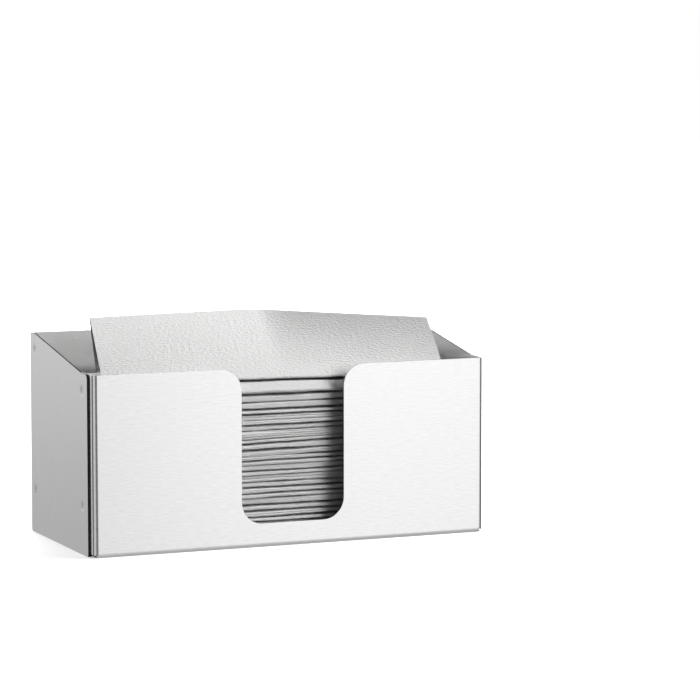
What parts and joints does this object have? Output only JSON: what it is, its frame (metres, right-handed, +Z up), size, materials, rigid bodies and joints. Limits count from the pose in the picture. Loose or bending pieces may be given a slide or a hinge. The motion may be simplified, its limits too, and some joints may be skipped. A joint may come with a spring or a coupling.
{
  "type": "folded paper towel dispenser",
  "caption": "Open-topped box of bent, spot-welded brushed steel for folded paper towels, with a rounded cut-out in its front, filled with its stack; the top towel is half drawn.",
  "frame": {"origin": "middle of the footprint, on the surface that the base stands on", "axes": "+X across the front to the right as a user faces it, +Y back to the wall, +Z up"},
  "size_m": [0.288, 0.131, 0.1579],
  "materials": {
    "steel": "fine horizontal brushing, satin",
    "paper": "soft crepe, matte"
  },
  "bodies": {
    "root": {"front_panel": "steel", "back_panel": "steel", "left_side_panel": "steel", "right_side_panel": "steel"},
    "towel_pack": {"towel_01": "paper", "towel_02": "paper", "towel_03": "paper", "towel_04": "paper", "towel_05": "paper", "towel_06": "paper", "towel_07": "paper", "towel_08": "paper", "towel_09": "paper", "towel_10": "paper", "towel_11": "paper", "towel_12": "paper", "towel_13": "paper", "towel_14": "paper", "towel_15": "paper", "towel_16": "paper", "towel_17": "paper", "towel_18": "paper", "towel_19": "paper", "towel_20": "paper", "towel_21": "paper", "towel_22": "paper", "towel_23": "paper", "towel_24": "paper", "towel_25": "paper", "towel_26": "paper", "towel_27": "paper"},
    "pulled_towel": {"pulled_towel": "paper"}
  },
  "joints": [
    {"name": "towel_pack_lift", "type": "slide", "parent": "root", "child": "towel_pack", "axis": [0, 0, 1], "range_m": [0, 0.14]},
    {"name": "pulled_towel_lift", "type": "slide", "parent": "towel_pack", "child": "pulled_towel", "axis": [0, 0, 1], "range_m": [0, 0.06]}
  ]
}
